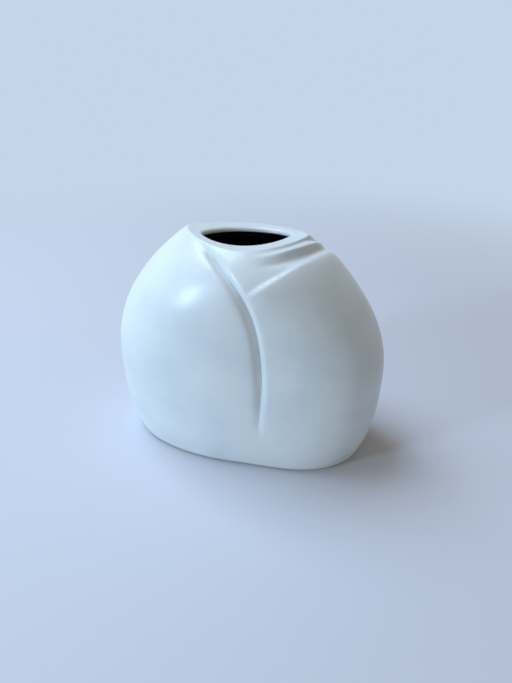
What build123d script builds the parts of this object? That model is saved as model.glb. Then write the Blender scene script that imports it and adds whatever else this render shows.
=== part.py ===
from build123d import *

import os
from math import atan2, cos, exp, pi, sin, sqrt

os.makedirs("parts", exist_ok=True)

# Pillow vase: a flattened, pillow-shaped ceramic vase with a lens-shaped mouth. On each
# broad face one deep crease runs from the rim down to the foot, and three pleats gather
# at the shoulder beside it. The back is the front turned half a turn about the upright
# axis.
#
# Frame: millimetres, +Z up, origin at the centre of the foot, on the surface that the
# vase stands on. +X runs along the broad face, and the front faces -Y.

# Overall form
width = 178.0
depth = 90.0
widest_height = 61.5
thickest_height = 70.0

# Rim: lowest at the middle of the two faces, rising to a tip at each end
rim_height = 145.0
rim_tip_rise = 3.6
rim_half_span = 36.6
rim_half_depth = 24.0
rim_edge_radius = 1.2
tip_rise_end = 46.0

# Foot
foot_width = 156.0
foot_depth = 81.0
foot_edge_radius = 3.0
foot_ring_width = 9.0
foot_recess = 1.2

# Wall and the glaze that lines it
wall = 5.0
crease_backing = 2.5
floor_thickness = 6.5
glaze_thickness = 0.6
glaze_line_drop = 2.4

# Mouth
mouth_half_length = 27.0
mouth_half_width = 14.4
mouth_tip_radius = 4.0
mouth_edge_radius = 2.0
mouth_twist_angle = 12.0

# Crease: its path across the face, then its cross-section
crease_reach = 20.2
crease_turn_height = 64.0
crease_lean = 14.6
crease_sweep = 32.5
crease_foot_shift = 5.0
crease_depth = 3.8
crease_left_width = 2.8
crease_right_width = 1.7
crease_start_height = 20.0
crease_full_height = 80.0
crease_rim_fade = 4.5
valley_depth = 1.6
valley_width = 22.0
valley_full_height = 100.0
valley_end_height = 135.0

# Pleats: each has a drop below the rim on the face and at the shoulder, a height (less
# than nothing for a groove) and a reach to either side. The last one curves down into
# the crease and swells out below.
rim_groove_drop = 0.4
rim_groove_shoulder_drop = 0.8
rim_groove_height = -1.7
rim_groove_reach = 1.3
upper_pleat_drop = 2.6
upper_pleat_shoulder_drop = 4.8
upper_pleat_height = 1.1
upper_pleat_reach = 1.0
middle_groove_drop = 5.9
middle_groove_shoulder_drop = 7.2
middle_groove_height = -1.8
middle_groove_reach = 1.9
lower_pleat_drop = 10.3
lower_pleat_shoulder_drop = 9.8
lower_pleat_height = 1.4
lower_pleat_reach = 1.5
lower_pleat_swell = 12.0
lower_pleat_droop = 19.4
lower_pleat_level_x = 41.0
pleat_sink = 90.0
pleat_start_x = 8.0
pleat_full_x = 32.0
shoulder_start_x = 30.0
shoulder_full_x = 48.0

# Level curves that carry the wall: spacing at the rim, and at the lowest pleat
rim_curve_gap = 0.6
pleat_curve_gap = 1.5

# How far a cutting shape runs past what it cuts, and the blank past the rim
overrun = 5.0

# Bends of the two upright outlines, squareness of the level sections, and how pointed the
# crease's cross-section is
width_upper_power = 2.06
width_rim_power = 1.18
width_foot_power = 3.06
depth_upper_power = 6.3
depth_rim_power = 0.654
depth_foot_power = 2.4
foot_squareness = 2.45
rim_squareness = 1.72
squareness_power = 1.3
crease_power = 1.5

# Places round the front half of a level section: 0 at the left end, 0.5 at the crease,
# 1 at the right end, and closest together beside the crease
places_per_half = 36
crease_spacing_share = 0.1
spacing_power = 2.5
place_shares = []
for number in range(places_per_half):
    spot_share = 2 * number / places_per_half - 1
    side = -1 if spot_share < 0 else 1
    spread_share = crease_spacing_share * abs(spot_share)
    spread_share += (1 - crease_spacing_share) * abs(spot_share) ** spacing_power
    place_shares.append((1 + side * spread_share) / 2)
place_step_share = 0.004

# Places where the pleats begin, past the crease, where they sink at the end, and where they
# fade: the front's pleats run round the right end, the back's stop short of the left end
pleat_begin_shares = (0.5, 0.58)
pleat_sink_share = 0.9
front_end_shares = (1.02, 1.2)
back_end_shares = (0.75, 0.93)
wrap_share = 0.21

# Heights of the level curves: of the foot's edge, of the rim height, and of the stretch
# from the rim to the flat top of the blank
foot_curve_shares = (0, 0.27, 0.83)
wall_curve_shares = (0.038, 0.09, 0.17, 0.27, 0.38, 0.48, 0.57, 0.65, 0.72, 0.78, 0.82)
above_rim_shares = (1, 0.65, 0.33, 0.1)

# Heights of the cavity's sections, and how far each is drawn in by the floor's round
cavity_shares = (0, 0.07, 0.3, 0.56, 0.8, 1)
floor_round_shares = (2, 0.5, 0, 0, 0, 0)
ceiling_follow_share = 0.4


def ease(value):
    """Smooth step from 0 at 0 to 1 at 1."""
    value = min(max(value, 0), 1)
    return value * value * (3 - 2 * value)


def between(value, start, end):
    """Smooth step from 0 at a start to 1 at an end."""
    return ease((value - start) / (end - start))


def hump(distance, reach, power=2):
    """Bell curve, 1 in the middle, and more pointed there with a power below 2."""
    return exp(-(abs(distance / reach) ** power))


def apex(low, top, top_share, upper_power, rim_power):
    """Height at which an outline that has top_share of its size at the top would close."""
    return low + (top - low) / (1 - top_share**rim_power) ** (1 / upper_power)


blank_height = rim_height + rim_tip_rise + overrun
width_apex = apex(
    widest_height,
    rim_height + rim_tip_rise,
    2 * rim_half_span / width,
    width_upper_power,
    width_rim_power,
)
depth_apex = apex(
    thickest_height,
    rim_height,
    2 * rim_half_depth / depth,
    depth_upper_power,
    depth_rim_power,
)


def outline(height, low, top, upper_power, rim_power, foot_share, foot_power):
    """Share of its greatest size that an upright outline has at a height."""
    if height >= low:
        rise_share = min((height - low) / (top - low), 1)
        return (1 - rise_share**upper_power) ** (1 / rim_power)
    return 1 - (1 - foot_share) * ((low - height) / low) ** foot_power


def foot_inset(height):
    """How far the rounded foot edge draws in at a height."""
    below = foot_edge_radius - min(max(height, 0), foot_edge_radius)
    return foot_edge_radius - sqrt(foot_edge_radius**2 - below**2)


def half_width(height):
    """Half the width at a height."""
    share = outline(
        height,
        widest_height,
        width_apex,
        width_upper_power,
        width_rim_power,
        foot_width / width,
        width_foot_power,
    )
    return width / 2 * share - foot_inset(height)


def half_depth(height):
    """Half the depth at a height."""
    share = outline(
        height,
        thickest_height,
        depth_apex,
        depth_upper_power,
        depth_rim_power,
        foot_depth / depth,
        depth_foot_power,
    )
    return depth / 2 * share - foot_inset(height)


def squareness(height):
    """Power of the level section: 2 is an ellipse, more is squarer."""
    share = max(height, 0) / rim_height
    return foot_squareness - (foot_squareness - rim_squareness) * share**squareness_power


def crease_x(height):
    """Place of the crease's lowest line across the front, at a height."""
    if height < crease_turn_height:
        return crease_reach - crease_foot_shift * (1 - height / crease_turn_height) ** 1.5
    share = (height - crease_turn_height) / (rim_height + rim_tip_rise - crease_turn_height)
    return crease_reach - crease_lean * share**2 - crease_sweep * share**6


def section_angle(place_share, height):
    """Angle round the front half of a level section, with the crease always at 0.5."""
    power = squareness(height)
    across_share = max(crease_x(height) / half_width(height), -0.93)
    forward_share = (1 - abs(across_share) ** power) ** (1 / power)
    crease = 2 * pi - atan2(forward_share, across_share)
    left = 2 * (crease - pi)
    right = 2 * (2 * pi - crease)
    slope = 2 * left * right / (left + right)
    if place_share < 0.5:
        start, end, t = pi, crease, 2 * place_share
    else:
        start, end, t = crease, 2 * pi, 2 * place_share - 1
    return start + (end - start) * ease(t) + slope / 2 * (t * (1 - t) ** 2 - t * t * (1 - t))


def above_rim(drop):
    """Smooth step from 0 at the rim to 1 at the flat top of the blank above it."""
    return between(-drop, 0, blank_height - rim_height)


def smooth_point(place_share, drop):
    """Point of the pillow without its folds, at a drop below the rim.

    The level curves follow the rim up to its tips, and flatten out above and below it.
    """
    turn = -1 if place_share >= 1 or place_share < 0 else 1
    follow = rim_tip_rise * (1 - between(drop, 0, tip_rise_end)) * (1 - above_rim(drop))
    height = rim_height - drop
    for _ in range(12):
        angle = section_angle(place_share % 1, height)
        power = squareness(height)
        reach = (abs(cos(angle)) ** power + abs(sin(angle)) ** power) ** (-1 / power)
        x = half_width(height) * reach * cos(angle)
        y = half_depth(height) * reach * sin(angle)
        height = rim_height - drop + follow * (x / rim_half_span) ** 2
    return turn * x, turn * y, height


def apart(first, second):
    """Vector from the second point to the first."""
    return tuple(a - b for a, b in zip(first, second))


def cross(a, b):
    """Cross product."""
    return (a[1] * b[2] - a[2] * b[1], a[2] * b[0] - a[0] * b[2], a[0] * b[1] - a[1] * b[0])


def size_of(vector):
    """Length of a vector."""
    return sqrt(sum(value * value for value in vector))


def step_round(place_share, drop):
    """Step along a level curve."""
    ahead = smooth_point(place_share + place_step_share, drop)
    return apart(ahead, smooth_point(place_share - place_step_share, drop))


def step_down(place_share, drop):
    """Step down the wall."""
    below = smooth_point(place_share, drop + rim_curve_gap / 2)
    return apart(below, smooth_point(place_share, drop - rim_curve_gap / 2))


def outward(place_share, drop):
    """Direction out of the wall, kept level at the foot so that the foot stays flat."""
    x, y, z = cross(step_down(place_share, drop), step_round(place_share, drop))
    z *= ease((rim_height - drop) / (4 * foot_edge_radius))
    size = size_of((x, y, z))
    return x / size, y / size, z / size


def crease_cut(place_share, drop):
    """Depth of the crease, and of the broad valley that it lies in."""
    path = step_down(0.5, drop)
    level = step_round(0.5, drop)
    slant = size_of(cross(path, level)) / (size_of(path) * size_of(level))
    centre = smooth_point(0.5, drop)
    distance = size_of(apart(smooth_point(place_share, drop), centre))
    reach = crease_left_width if place_share < 0.5 else crease_right_width
    rise = between(centre[2], crease_start_height, crease_full_height)
    rim_share = ease(drop / crease_rim_fade)
    valley = 1 - between(centre[2], valley_full_height, valley_end_height)
    cut = crease_depth * rise * rim_share * hump(distance * slant, reach, crease_power)
    return cut + valley_depth * valley * hump(distance, valley_width)


def fold(place_share, out, drop, end_shares):
    """Height of the pleats at a place past the crease and a distance out along X."""
    shoulder = between(out, shoulder_start_x, shoulder_full_x)
    start = between(out, pleat_start_x, pleat_full_x)
    end = 1 - between(place_share, *end_shares)
    widen = 1 + 0.4 * shoulder
    drop -= pleat_sink * (max(0, place_share - pleat_sink_share) / pleat_sink_share) ** 2
    total = 0
    for face_drop, shoulder_drop, height, reach in (
        (rim_groove_drop, rim_groove_shoulder_drop, rim_groove_height, rim_groove_reach),
        (upper_pleat_drop, upper_pleat_shoulder_drop, upper_pleat_height, upper_pleat_reach),
        (middle_groove_drop, middle_groove_shoulder_drop, middle_groove_height, middle_groove_reach),
    ):
        line = face_drop + (shoulder_drop - face_drop) * shoulder
        total += height * start * end * hump(drop - line, reach * widen)
    line = lower_pleat_drop + (lower_pleat_shoulder_drop - lower_pleat_drop) * shoulder
    line += lower_pleat_droop * max(0, 1 - out / lower_pleat_level_x) ** 2
    ridge = end * hump(drop - line, lower_pleat_reach * widen)
    if drop > line:
        ridge = end * hump(drop - line, lower_pleat_swell)
    return total + lower_pleat_height * between(place_share, *pleat_begin_shares) * ridge


def pleat_rise(place_share, drop, back):
    """Pleats of the front or back half, with the front's where they run on to the back."""
    x = smooth_point(place_share, drop)[0]
    if place_share >= 0.5:
        return fold(place_share, x, drop, back_end_shares if back else front_end_shares)
    if back and place_share < wrap_share:
        return fold(place_share + 1, -x, drop, front_end_shares)
    return 0


def wall_point(place_share, drop, back):
    """Point of the folded outer wall, as on the front, or for the back before its turn."""
    x, y, z = smooth_point(place_share, drop)
    normal = outward(place_share, drop)
    lift = pleat_rise(place_share, drop, back) - crease_cut(place_share, drop)
    lift *= 1 - above_rim(drop)
    return x + normal[0] * lift, y + normal[1] * lift, z + normal[2] * lift


def closed_curve(drop):
    """Closed level curve through the front half and the back half, turned half a turn."""
    points = [wall_point(share, drop, False) for share in place_shares]
    for share in place_shares:
        x, y, z = wall_point(share, drop, True)
        points.append((-x, -y, z))
    knot_shares = [share / 2 for share in place_shares]
    knot_shares += [0.5 + share for share in knot_shares] + [1]
    return Wire([Edge.make_spline(points, periodic=True, parameters=knot_shares)])


# Drops of the level curves below the rim, from the foot up: wide apart on the belly, and
# closer and closer from the lowest pleat to the rim, which they run past
curve_drops = [rim_height - foot_edge_radius * share for share in foot_curve_shares]
curve_drops += [rim_height - rim_height * share for share in wall_curve_shares]
pleat_drops = [(rim_height - blank_height) * share for share in above_rim_shares] + [0]
gap_growth = (pleat_curve_gap - rim_curve_gap) / (lower_pleat_drop + lower_pleat_swell)
while pleat_drops[-1] < lower_pleat_drop + lower_pleat_swell:
    pleat_drops.append(pleat_drops[-1] + rim_curve_gap + gap_growth * pleat_drops[-1])
curve_drops += [drop for drop in reversed(pleat_drops) if drop < curve_drops[-1]]

pillow = Solid.make_loft([closed_curve(drop) for drop in curve_drops])


def cavity_levels(inset):
    """Height and half sizes of each section of the cavity, drawn in by an inset."""
    base = floor_thickness + inset
    ceiling = rim_height - wall - inset
    for share, round_share in zip(cavity_shares, floor_round_shares):
        height = base + (ceiling - base) * share
        outside = height + wall * between(share, ceiling_follow_share, 1)
        drawn = wall + inset + wall * round_share
        yield height, half_width(outside) - drawn, half_depth(outside) - drawn - crease_backing


def cavity(inset):
    """Cavity of the vase, drawn in by an inset."""
    with BuildPart() as space:
        for height, half_x, half_y in cavity_levels(inset):
            with BuildSketch(Plane.XY.offset(height)):
                Ellipse(half_x, half_y)
        loft()
    return space.part


def throat(inset):
    """Throat from the cavity up through the rim: two arcs that meet in rounded tips."""
    base = rim_height - wall - inset - overrun
    with BuildPart() as space:
        with BuildSketch(Plane.XY.offset(base)) as lens:
            with BuildLine():
                tip = mouth_half_length - inset
                side = mouth_half_width - inset
                ThreePointArc((-tip, 0), (0, -side), (tip, 0))
                ThreePointArc((tip, 0), (0, side), (-tip, 0))
            make_face()
            fillet(lens.vertices(), mouth_tip_radius - inset)
        extrude(amount=rim_height + rim_tip_rise + overrun - base)
    return space.part.rotate(Axis.Z, mouth_twist_angle)


def above_saddle(drop):
    """Block above the rim's saddle, or above a line that follows it at a drop below."""
    out = rim_half_span + overrun
    low = rim_height - drop
    high = low + rim_tip_rise * (out / rim_half_span) ** 2
    top = blank_height + overrun
    with BuildPart() as block:
        with BuildSketch(Plane.XZ):
            with BuildLine():
                ThreePointArc((-out, high), (0, low), (out, high))
                Polyline((out, high), (out, top), (-out, top), (-out, high))
            make_face()
        extrude(amount=depth, both=True)
    return block.part


def rim_cut():
    """All that is cut away above the rim and down the throat, with the lip's round."""
    with BuildPart() as space:
        add(above_saddle(0))
        add(throat(0))
        saddle = space.faces().filter_by(GeomType.CYLINDER).sort_by(SortBy.AREA)[-1]
        fillet(saddle.inner_wires()[0].edges(), mouth_edge_radius)
    return space.part


# The body: the pillow with its rim cut to a saddle, its throat and its cavity, and the
# shallow recess of the foot
with BuildPart() as body:
    add(pillow)
    add(rim_cut(), mode=Mode.SUBTRACT)
    land = body.faces().filter_by(GeomType.CYLINDER).sort_by(SortBy.AREA)[-1]
    fillet(land.outer_wire().edges(), rim_edge_radius)
    add(cavity(0), mode=Mode.SUBTRACT)
    with BuildSketch(Plane.XY):
        Ellipse(foot_width / 2 - foot_ring_width, foot_depth / 2 - foot_ring_width)
    extrude(amount=foot_recess, mode=Mode.SUBTRACT)
body.part.label = "body"
export_step(body.part, "parts/body.step")

# The glaze: a thin skin on the floor, wall and throat, which ends below the rim in a line
# that follows the rim's saddle
with BuildPart() as interior_glaze:
    add(cavity(0))
    add(throat(0))
    add(cavity(glaze_thickness), mode=Mode.SUBTRACT)
    add(throat(glaze_thickness), mode=Mode.SUBTRACT)
    add(above_saddle(glaze_line_drop), mode=Mode.SUBTRACT)
interior_glaze.part.label = "interior_glaze"
export_step(interior_glaze.part, "parts/interior_glaze.step")
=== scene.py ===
import bpy
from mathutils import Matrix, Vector

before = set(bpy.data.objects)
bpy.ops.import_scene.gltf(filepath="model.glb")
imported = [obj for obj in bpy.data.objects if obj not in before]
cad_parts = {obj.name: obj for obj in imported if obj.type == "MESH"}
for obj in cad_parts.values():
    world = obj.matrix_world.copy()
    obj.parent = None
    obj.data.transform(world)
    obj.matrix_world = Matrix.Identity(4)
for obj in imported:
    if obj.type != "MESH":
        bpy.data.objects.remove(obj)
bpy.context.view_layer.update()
bpy.ops.object.select_all(action="DESELECT")

mmPerMetre = 1000
noiseSpan = (0.3, 0.7)           # nearly all values of a noise lie in here
srgbCurve = {"white": 255, "toeEnd": 0.04045, "toeSlope": 12.92,
             "offset": 0.055, "scale": 1.055, "power": 2.4}


# sRGB hex to the linear colour that shaders and lamps take
def toLinear(hexColour):
    linear = []
    for start in (1, 3, 5):
        value = int(hexColour[start:start + 2], 16) / srgbCurve["white"]
        if value <= srgbCurve["toeEnd"]:
            linear.append(value / srgbCurve["toeSlope"])
        else:
            linear.append(((value + srgbCurve["offset"]) / srgbCurve["scale"]) ** srgbCurve["power"])
    return linear + [1.0]


# adds a node, sets its properties and inputs, and links its inputs to earlier outputs
def addNode(tree, kind, settings=None, values=None, links=None):
    node = tree.nodes.new(kind)
    for name, value in (settings or {}).items():
        setattr(node, name, value)
    for name, value in (values or {}).items():
        node.inputs[name].default_value = value
    for name, output in (links or {}).items():
        tree.links.new(output, node.inputs[name])
    return node


def addMath(tree, operation, first, second):
    return addNode(tree, "ShaderNodeMath", settings={"operation": operation},
                   links={0: first, 1: second}).outputs[0]


# carries a value from one span over to another, and holds it at the ends
def addRange(tree, value, fromSpan, toSpan=(0.0, 1.0), interpolation="LINEAR"):
    return addNode(tree, "ShaderNodeMapRange",
                   settings={"interpolation_type": interpolation},
                   values={"From Min": fromSpan[0], "From Max": fromSpan[1],
                           "To Min": toSpan[0], "To Max": toSpan[1]},
                   links={"Value": value}).outputs["Result"]


# noise with features about sizeMm across, in object space, which is in metres
def addNoise(tree, place, sizeMm, detail):
    return addNode(tree, "ShaderNodeTexNoise",
                   values={"Scale": mmPerMetre / sizeMm, "Detail": detail},
                   links={"Vector": place}).outputs["Fac"]


# mixes two colours, each a hex value or an earlier output
def mixColours(tree, factor, first, second):
    sides = {"A": first, "B": second}
    written = {name: toLinear(side) for name, side in sides.items() if isinstance(side, str)}
    linked = {name: side for name, side in sides.items() if name not in written}
    return addNode(tree, "ShaderNodeMix", settings={"data_type": "RGBA"}, values=written,
                   links={"Factor": factor, **linked}).outputs["Result"]


def mixShaders(tree, factor, first, second):
    return addNode(tree, "ShaderNodeMixShader", links={
        0: factor, 1: first.outputs[0], 2: second.outputs[0]}).outputs[0]


# 1 for the rays that show the backdrop: to the camera, and in gloss and glass
def seenRays(tree):
    path = addNode(tree, "ShaderNodeLightPath").outputs
    shiny = addMath(tree, "MAXIMUM", path["Is Glossy Ray"], path["Is Transmission Ray"])
    return addMath(tree, "MAXIMUM", path["Is Camera Ray"], shiny)


def newMaterial(name):
    material = bpy.data.materials.new(name)
    material.use_nodes = True
    material.node_tree.nodes.clear()
    return material, material.node_tree


# camera at the photograph's angle
cameraView = {
    "place": (0.0804, -0.2775, 0.25005),
    "toward": (-0.2211, 0.8223, -0.5243),
    "focalPixels": 513,
    "imageHeight": 683,
    "sensor": 36.0,
    "nearClip": 0.01,
}


def addCamera():
    bpy.ops.object.camera_add(location=cameraView["place"])
    camera = bpy.context.object
    camera.name = "photoCamera"
    camera.rotation_euler = Vector(cameraView["toward"]).to_track_quat("-Z", "Y").to_euler()
    camera.data.sensor_width = cameraView["sensor"]
    camera.data.lens = cameraView["focalPixels"] * cameraView["sensor"] / cameraView["imageHeight"]
    camera.data.clip_start = cameraView["nearClip"]
    camera.data.dof.use_dof = False
    bpy.context.scene.camera = camera


addCamera()
print("vase: camera set")


# a tall soft window at the front left, a soft lamp high at the left and a little
# behind, and a faint warm fill from the room
lighting = {
    "windowPlace": (-0.96, -0.87, 0.27),
    "windowAim": (0.0, 0.0, 0.2),
    "windowSize": (0.2, 0.6),
    "windowPower": 9.7,
    "windowColour": "#C6E3FF",
    "ceilingPlace": (-0.57, 0.12, 1.3),
    "ceilingAim": (0.0, 0.0, 0.09),
    "ceilingSize": (0.8, 0.8),
    "ceilingPower": 16.4,
    "ceilingColour": "#CFE5FF",
    "skyColour": "#FFEFD2",
    "skyStrength": 0.25,
    "backdropColour": "#C5D4E9",
    "backdropStrength": 1.0,     # 1 shows the colour as it is written
}


def addLamp(name):
    place = Vector(lighting[name + "Place"])
    aim = Vector(lighting[name + "Aim"])
    bpy.ops.object.light_add(type="AREA", location=place)
    lamp = bpy.context.object
    lamp.name = name + "Light"
    lamp.rotation_euler = (aim - place).to_track_quat("-Z", "Y").to_euler()
    lamp.data.shape = "RECTANGLE"
    lamp.data.size, lamp.data.size_y = lighting[name + "Size"]
    lamp.data.energy = lighting[name + "Power"]
    lamp.data.color = toLinear(lighting[name + "Colour"])[:3]


# the camera sees a pale backdrop, while the object is lit at a plain level
def buildWorld():
    world = bpy.data.worlds.new("softRoom")
    bpy.context.scene.world = world
    world.use_nodes = True
    tree = world.node_tree
    tree.nodes.clear()
    sky = addNode(tree, "ShaderNodeBackground", values={
        "Color": toLinear(lighting["skyColour"]), "Strength": lighting["skyStrength"]})
    backdrop = addNode(tree, "ShaderNodeBackground", values={
        "Color": toLinear(lighting["backdropColour"]), "Strength": lighting["backdropStrength"]})
    addNode(tree, "ShaderNodeOutputWorld", links={
        "Surface": mixShaders(tree, seenRays(tree), sky, backdrop)})


addLamp("window")
addLamp("ceiling")
buildWorld()
print("vase: lamps and world set")


# pale floor, which keeps the shadow near the vase and fades to the backdrop far off
floor = {
    "size": 12.0,
    "colour": "#D6DAE5",
    "roughness": 0.9,
    "fadeSpan": (0.22, 0.75),    # metres from the middle of the vase
}


# matt cover: it has no shine, so it shows only the soft shadow
def buildFloor():
    bpy.ops.mesh.primitive_plane_add(size=floor["size"], location=(0, 0, 0))
    plane = bpy.context.object
    plane.name = "paleFloor"
    material, tree = newMaterial("matt pale table cover")
    place = addNode(tree, "ShaderNodeTexCoord").outputs["Object"]
    away = addNode(tree, "ShaderNodeVectorMath", settings={"operation": "LENGTH"},
                   links={0: place}).outputs["Value"]
    fade = addRange(tree, away, floor["fadeSpan"], interpolation="SMOOTHSTEP")
    seen = addMath(tree, "MULTIPLY", fade, seenRays(tree))
    cover = addNode(tree, "ShaderNodeBsdfPrincipled", values={
        "Base Color": toLinear(floor["colour"]), "Roughness": floor["roughness"]})
    backdrop = addNode(tree, "ShaderNodeEmission", values={
        "Color": toLinear(lighting["backdropColour"]), "Strength": lighting["backdropStrength"]})
    addNode(tree, "ShaderNodeOutputMaterial", links={
        "Surface": mixShaders(tree, seen, cover, backdrop)})
    plane.data.materials.append(material)
    plane.select_set(False)


buildFloor()
print("vase: floor laid")


# roughness that drifts with the clouds in a glaze
def addSheen(tree, clouds, glaze):
    return addRange(tree, clouds, noiseSpan, (glaze["roughness"] - glaze["roughnessSpread"],
                                              glaze["roughness"] + glaze["roughnessSpread"]))


# satin white glaze over slip-cast stoneware, with the dry unglazed foot
whiteGlaze = {
    "colour": "#E3EBEC",         # white tin glaze with a faint cool cast
    "thinColour": "#D9E3E6",     # where the glaze is a little thinner
    "edgeColour": "#E2E3DE",     # clay warms the glaze where it drew back from edges
    "edgeSpan": (0.52, 0.62),    # pointiness at which that starts and is full
    "edgeShare": 0.7,
    "clayColour": "#CFC3B0",     # bisque clay of the wiped foot
    "clayShade": "#C2B49E",      # darker patches in the clay
    "clayMm": 2.5,
    "footHeight": 0.0016,        # metres, and bare clay lies below it
    "footFacing": (-0.75, -0.9),  # upright part of the normal, from glaze to clay
    "roughness": 0.31,
    "roughnessSpread": 0.025,
    "cloudMm": 34.0,             # soft clouds in the glaze
    "cloudStops": (0.35, 0.62),  # noise values of the thin and of the full glaze
    "rippleMm": 7.0,             # orange-peel ripple of a sprayed glaze
    "rippleStrength": 0.2,
    "rippleDepth": 0.0006,
    "grainMm": 0.55,             # fine matt crystals, drawn coarse enough to show
    "grainStrength": 0.1,
    "grainDepth": 0.00005,
    "ior": 1.5,
}


# satin matt: tiny crystals scatter the light, so highlights are broad and soft-edged
def makeWhiteGlaze():
    material, tree = newMaterial("satin white stoneware glaze")
    place = addNode(tree, "ShaderNodeTexCoord").outputs["Object"]
    geometry = addNode(tree, "ShaderNodeNewGeometry").outputs
    clouds = addNoise(tree, place, whiteGlaze["cloudMm"], detail=3.0)
    glaze = addNode(tree, "ShaderNodeValToRGB", links={"Fac": clouds})
    for stop, position, key in zip(glaze.color_ramp.elements, whiteGlaze["cloudStops"],
                                   ("thinColour", "colour")):
        stop.position = position
        stop.color = toLinear(whiteGlaze[key])
    edge = addRange(tree, geometry["Pointiness"], whiteGlaze["edgeSpan"],
                    (0.0, whiteGlaze["edgeShare"]))
    worn = mixColours(tree, edge, glaze.outputs["Color"], whiteGlaze["edgeColour"])

    # the foot ring and the recess inside it stay bare clay
    height = addNode(tree, "ShaderNodeSeparateXYZ", links={"Vector": place}).outputs["Z"]
    facing = addNode(tree, "ShaderNodeSeparateXYZ",
                     links={"Vector": geometry["Normal"]}).outputs["Z"]
    low = addNode(tree, "ShaderNodeMath", settings={"operation": "LESS_THAN"},
                  values={1: whiteGlaze["footHeight"]}, links={0: height}).outputs[0]
    foot = addMath(tree, "MULTIPLY", low, addRange(tree, facing, whiteGlaze["footFacing"]))
    patches = addNoise(tree, place, whiteGlaze["clayMm"], detail=4.0)
    clay = mixColours(tree, patches, whiteGlaze["clayShade"], whiteGlaze["clayColour"])
    colour = mixColours(tree, foot, worn, clay)
    roughness = addMath(tree, "MAXIMUM", addSheen(tree, clouds, whiteGlaze), foot)

    ripple = addNoise(tree, place, whiteGlaze["rippleMm"], detail=2.0)
    rippleBump = addNode(tree, "ShaderNodeBump", values={
        "Strength": whiteGlaze["rippleStrength"], "Distance": whiteGlaze["rippleDepth"]},
        links={"Height": ripple})
    grain = addNoise(tree, place, whiteGlaze["grainMm"], detail=2.0)
    grainBump = addNode(tree, "ShaderNodeBump", values={
        "Strength": whiteGlaze["grainStrength"], "Distance": whiteGlaze["grainDepth"]},
        links={"Height": grain, "Normal": rippleBump.outputs["Normal"]})
    shader = addNode(tree, "ShaderNodeBsdfPrincipled", values={"IOR": whiteGlaze["ior"]}, links={
        "Base Color": colour, "Roughness": roughness, "Normal": grainBump.outputs["Normal"]})
    addNode(tree, "ShaderNodeOutputMaterial", links={"Surface": shader.outputs[0]})
    return material


# glossy black liner glaze inside
blackGlaze = {
    "colour": "#07070A",
    "poolColour": "#0E0D10",     # where it pooled a little thicker
    "cloudMm": 22.0,
    "roughness": 0.16,
    "roughnessSpread": 0.05,
    "rippleMm": 9.0,
    "rippleStrength": 0.1,
    "rippleDepth": 0.0004,
    "ior": 1.52,
}


# gloss liner: melts flat and glassy, so it shows only dark depth and a few sharp glints
def makeBlackGlaze():
    material, tree = newMaterial("gloss black liner glaze")
    place = addNode(tree, "ShaderNodeTexCoord").outputs["Object"]
    clouds = addNoise(tree, place, blackGlaze["cloudMm"], detail=3.0)
    colour = mixColours(tree, clouds, blackGlaze["colour"], blackGlaze["poolColour"])
    ripple = addNoise(tree, place, blackGlaze["rippleMm"], detail=1.0)
    bump = addNode(tree, "ShaderNodeBump", values={
        "Strength": blackGlaze["rippleStrength"], "Distance": blackGlaze["rippleDepth"]},
        links={"Height": ripple})
    shader = addNode(tree, "ShaderNodeBsdfPrincipled", values={"IOR": blackGlaze["ior"]}, links={
        "Base Color": colour, "Roughness": addSheen(tree, clouds, blackGlaze),
        "Normal": bump.outputs["Normal"]})
    addNode(tree, "ShaderNodeOutputMaterial", links={"Surface": shader.outputs[0]})
    return material


def dress(piece, material):
    piece.data.materials.clear()
    piece.data.materials.append(material)


dress(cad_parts["body"], makeWhiteGlaze())
dress(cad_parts["interior_glaze"], makeBlackGlaze())
print("vase: glazes applied")

bpy.context.scene.view_settings.view_transform = "Standard"
